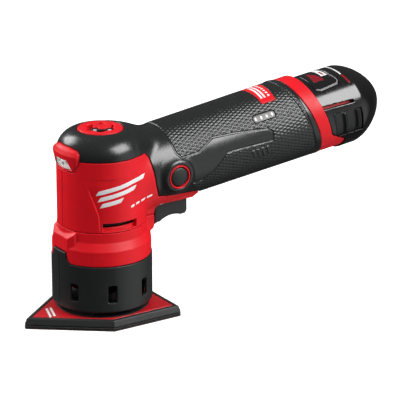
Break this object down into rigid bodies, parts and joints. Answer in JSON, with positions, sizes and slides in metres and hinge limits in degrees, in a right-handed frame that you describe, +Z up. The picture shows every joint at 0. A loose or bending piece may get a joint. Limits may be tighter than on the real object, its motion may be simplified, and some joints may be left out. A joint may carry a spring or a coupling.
{
  "type": "detail sander",
  "caption": "Cordless hand-held detail sander: a cylindrical head over a pointed orbiting pad, a slanted textured grip with trigger and lock button, and a sliding stick battery pack.",
  "frame": {"origin": "on the motor axis, in the plane of the abrasive sheet's working face", "axes": "+X runs back along the grip, the pad's point looks along -X, +Z is up along the motor axis, and the XZ plane splits the clamshell"},
  "size_m": [0.2592, 0.0684, 0.1284],
  "materials": {
    "red_plastic": "moulded red nylon, satin",
    "pad_red": "red painted steel plate",
    "grip_rubber": "black moulded rubber, fine raised diamonds on the grip",
    "charcoal_plastic": "charcoal nylon, satin",
    "pad_foam": "charcoal cushion rubber",
    "pack_black": "gloss black plastic",
    "steel": "turned steel",
    "aluminium": "cast aluminium",
    "copper": "enamelled copper wire",
    "board": "green circuit board",
    "clear_lens": "clear polycarbonate",
    "cell_can": "metal can in a blue sleeve",
    "abrasive": "abrasive grit on paper",
    "hook": "hook fabric"
  },
  "bodies": {
    "root": {"housing_left": "red_plastic", "housing_right": "red_plastic", "grip_left": "grip_rubber", "grip_right": "grip_rubber", "head_collar": "red_plastic", "dust_skirt": "charcoal_plastic", "led_bezel": "red_plastic", "led_lens": "clear_lens", "led_board": "board", "bearing_plate": "aluminium", "lower_bearing": "steel", "upper_bearing": "steel", "motor_stator": "steel", "winding_bottom": "copper", "winding_top": "copper", "orbit_post_1": "grip_rubber", "orbit_post_2": "grip_rubber", "orbit_post_3": "grip_rubber", "orbit_post_4": "grip_rubber", "dial_potentiometer": "charcoal_plastic", "button_ring": "red_plastic", "button_spring": "steel", "trigger_pin": "steel", "trigger_spring": "steel", "switch_module": "charcoal_plastic", "control_board": "board", "terminal_block": "charcoal_plastic", "fuel_gauge_window": "pack_black", "grip_badge": "red_plastic", "housing_screw_1": "steel", "housing_screw_2": "steel", "housing_screw_3": "steel", "housing_screw_4": "steel", "housing_screw_5": "steel"},
    "dial": {"speed_dial": "red_plastic"},
    "spindle": {"spindle": "steel", "motor_rotor": "steel", "cooling_fan": "charcoal_plastic", "counterweight": "steel"},
    "pad": {"abrasive_sheet": "abrasive", "hook_sheet": "hook", "pad_cushion": "pad_foam", "pad_top_plate": "pad_red", "pad_carrier": "aluminium", "pad_bearing": "steel", "pad_screw_1": "steel", "pad_screw_2": "steel", "pad_screw_3": "steel"},
    "trigger": {"trigger": "charcoal_plastic"},
    "lock": {"lock_button": "charcoal_plastic"},
    "pack": {"pack_stem": "charcoal_plastic", "pack_nose": "charcoal_plastic", "pack_head": "pack_black", "pack_core": "red_plastic", "pack_panel": "pack_black", "cell_1": "cell_can", "cell_2": "cell_can", "cell_3": "cell_can"},
    "latch_left": {"latch_left": "charcoal_plastic"},
    "latch_right": {"latch_right": "charcoal_plastic"}
  },
  "joints": [
    {"name": "spindle_spin", "type": "hinge", "parent": "root", "child": "spindle", "pos_m": [0, 0, 0.05], "axis": [0, 0, 1], "continuous": true},
    {"name": "pad_orbit", "type": "hinge", "parent": "spindle", "child": "pad", "pos_m": [0.0012, 0, 0.01], "axis": [0, 0, 1], "continuous": true, "deforming": ["orbit_post_1", "orbit_post_2", "orbit_post_3", "orbit_post_4"]},
    {"name": "dial_turn", "type": "hinge", "parent": "root", "child": "dial", "pos_m": [0, 0, 0.1184], "axis": [0, 0, -1], "range_deg": [0, 300]},
    {"name": "trigger_pull", "type": "hinge", "parent": "root", "child": "trigger", "pos_m": [0.0365, 0, 0.0665], "axis": [0, -1, 0], "range_deg": [0, 8], "stiffness_Nm_per_rad": 0.25, "springref_deg": -11.46, "deforming": ["trigger_spring"]},
    {"name": "lock_press", "type": "slide", "parent": "root", "child": "lock", "axis": [0, 1, 0], "range_m": [0, 0.0025], "stiffness_N_per_m": 500, "springref_m": -0.002, "deforming": ["button_spring"]},
    {"name": "pack_slide", "type": "slide", "parent": "root", "child": "pack", "axis": [0.9931, 0, 0.1175], "range_m": [0, 0.075]},
    {"name": "latch_left_press", "type": "hinge", "parent": "pack", "child": "latch_left", "pos_m": [0.17875, -0.024, 0.10556], "axis": [0.1175, 0, -0.9931], "range_deg": [0, 5], "stiffness_Nm_per_rad": 0.2, "springref_deg": -8.59},
    {"name": "latch_right_press", "type": "hinge", "parent": "pack", "child": "latch_right", "pos_m": [0.17875, 0.024, 0.10556], "axis": [-0.1175, 0, 0.9931], "range_deg": [0, 5], "stiffness_Nm_per_rad": 0.2, "springref_deg": -8.59}
  ],
  "couplings": [
    {"joint": "pad_orbit", "follows": "spindle_spin", "ratio": -1}
  ]
}
